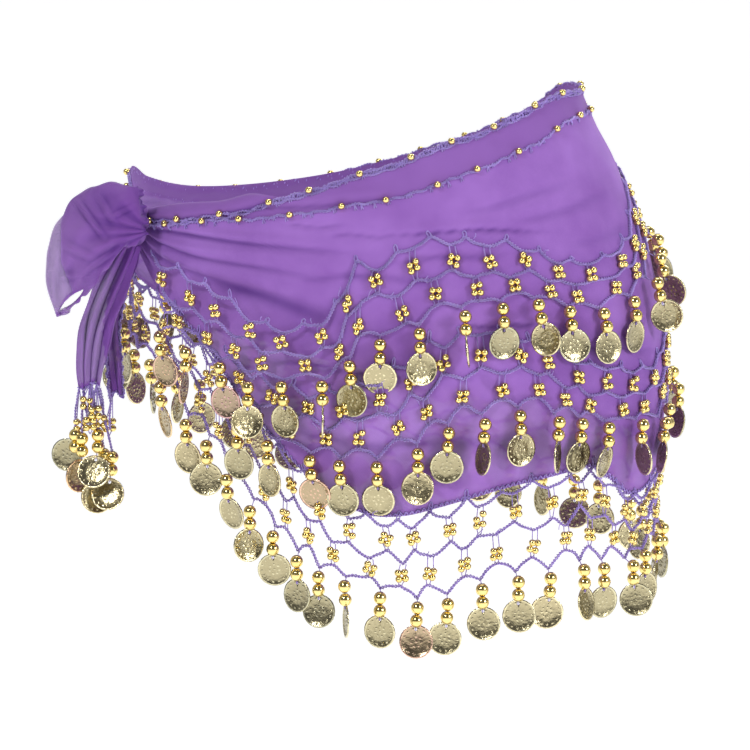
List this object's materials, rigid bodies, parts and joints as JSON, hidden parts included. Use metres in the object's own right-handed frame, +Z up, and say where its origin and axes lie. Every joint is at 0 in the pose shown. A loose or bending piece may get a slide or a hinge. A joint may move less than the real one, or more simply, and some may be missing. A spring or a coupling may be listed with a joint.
{
  "type": "belly dance hip scarf",
  "caption": "Sheer hip scarf worn round the hips and knotted at one side, with beaded crochet nets in rows, each hung with coins.",
  "frame": {"origin": "centre of the wearer's hips inside the scarf, near the height of the scarf's top edge at the front", "axes": "+Z up, +X towards the wearer's hip away from the knot, -Y towards the front"},
  "size_m": [0.3733, 0.2434, 0.3318],
  "materials": {
    "chiffon": "sheer plain-woven chiffon",
    "crochet_thread": "twisted thread",
    "gold": "thin bright gold plating"
  },
  "bodies": {
    "root": {"scarf_front": "chiffon", "scarf_back": "chiffon", "knot": "chiffon", "knot_puff": "chiffon", "tail_front": "chiffon", "tail_back": "chiffon", "edging_waist": "crochet_thread", "edging_strip": "crochet_thread", "net_upper": "crochet_thread", "net_middle": "crochet_thread", "net_lower": "crochet_thread", "tail_net": "crochet_thread", "coins_upper": "gold", "coins_middle": "gold", "coins_lower": "gold", "tail_coins": "gold"}
  },
  "joints": []
}
